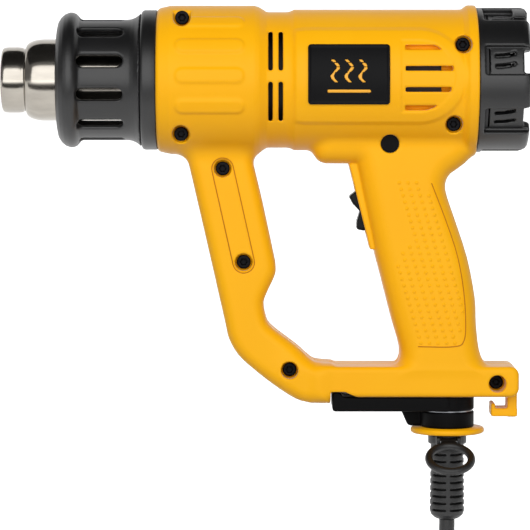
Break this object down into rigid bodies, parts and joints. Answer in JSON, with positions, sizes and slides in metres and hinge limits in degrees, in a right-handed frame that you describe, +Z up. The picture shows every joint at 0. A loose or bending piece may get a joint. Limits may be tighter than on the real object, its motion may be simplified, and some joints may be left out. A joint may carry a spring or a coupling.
{
  "type": "heat gun",
  "caption": "Electric heat gun with a hoop handle, stepped steel nozzle, slotted guard, rocker switch, swivelling stand and a coiled mains cord.",
  "frame": {"origin": "middle of the hand grip", "axes": "-X along the nozzle, +Z up, Y across the parting plane of the two shells"},
  "size_m": [0.2914, 0.0772, 0.4711],
  "materials": {
    "yellow_shell": "fine moulded texture, satin",
    "black_plastic": "moulded, satin",
    "dark_plastic": "moulded, matt",
    "switch_plastic": "moulded, half gloss",
    "nameplate": "printed film, half gloss",
    "nozzle_steel": "drawn and polished stainless steel",
    "black_steel": "black oxide",
    "bright_steel": "zinc plated",
    "motor_steel": "drawn can",
    "bronze": "sintered",
    "brass_tab": "stamped",
    "plated_brass": "nickel plated",
    "black_rubber": "extruded, matt",
    "mica": "pressed sheet",
    "ceramic": "fired, unglazed",
    "heater_wire": "oxidised resistance wire",
    "circuit_board": "solder mask",
    "capacitor_film": "dipped",
    "terminal_plastic": "moulded",
    "wire_jacket": "extruded",
    "tie_strap": "woven hook tape"
  },
  "bodies": {
    "housing": {"housing_left": "yellow_shell", "housing_right": "yellow_shell", "front_collar": "black_plastic", "rear_cap": "black_plastic", "intake_screen": "dark_plastic", "nozzle": "nozzle_steel", "nameplate_left": "nameplate", "nameplate_right": "nameplate", "housing_screws": "black_steel", "boss_plugs": "black_plastic", "switch_body": "dark_plastic", "switch_terminals": "brass_tab", "retaining_disc": "yellow_shell", "wave_washer": "bright_steel", "strain_relief": "black_rubber", "ring_collar": "black_rubber", "ring_pin": "bright_steel", "mica_sleeve": "mica", "heater_core": "ceramic", "heating_coils": "heater_wire", "heater_flange": "ceramic", "thermal_cutout": "bright_steel", "air_duct": "dark_plastic", "motor_can": "motor_steel", "motor_bushes": "bronze", "motor_mount": "dark_plastic", "control_board": "circuit_board", "capacitor": "capacitor_film", "terminal_block": "terminal_plastic", "inner_wires": "wire_jacket", "inner_cable": "black_rubber", "cord_clamp": "dark_plastic", "clamp_screws": "bright_steel", "cord_lead": "black_rubber", "cord_coil": "black_rubber", "cord_tail": "black_rubber", "cord_tie": "tie_strap", "plug_body": "black_rubber", "plug_pins": "plated_brass"},
    "rocker": {"switch_rocker": "switch_plastic"},
    "leg_left": {"stand_leg_left": "black_plastic"},
    "leg_right": {"stand_leg_right": "black_plastic"},
    "ring": {"hang_ring": "black_rubber"},
    "rotor": {"motor_shaft": "bright_steel", "fan_impeller": "dark_plastic"},
    "guard": {"nozzle_guard": "black_plastic"}
  },
  "joints": [
    {"name": "rocker_tilt", "type": "hinge", "parent": "housing", "child": "rocker", "pos_m": [-0.02822, 0, 0.02874], "axis": [0, 1, 0], "range_deg": [-10, 10]},
    {"name": "leg_left_swing", "type": "hinge", "parent": "housing", "child": "leg_left", "pos_m": [0.0135, 0, -0.073], "axis": [0, 0, 1], "range_deg": [0, 118]},
    {"name": "leg_right_swing", "type": "hinge", "parent": "housing", "child": "leg_right", "pos_m": [0.0135, 0, -0.081], "axis": [0, 0, -1], "range_deg": [0, 118]},
    {"name": "ring_swing", "type": "hinge", "parent": "housing", "child": "ring", "pos_m": [0.0135, -0.012, -0.0915], "axis": [1, 0, 0], "range_deg": [-20, 50]},
    {"name": "fan_spin", "type": "hinge", "parent": "housing", "child": "rotor", "pos_m": [-0.03, 0, 0.0955], "axis": [1, 0, 0], "continuous": true},
    {"name": "guard_pull", "type": "slide", "parent": "housing", "child": "guard", "axis": [-1, 0, 0], "range_m": [0, 0.075]}
  ]
}
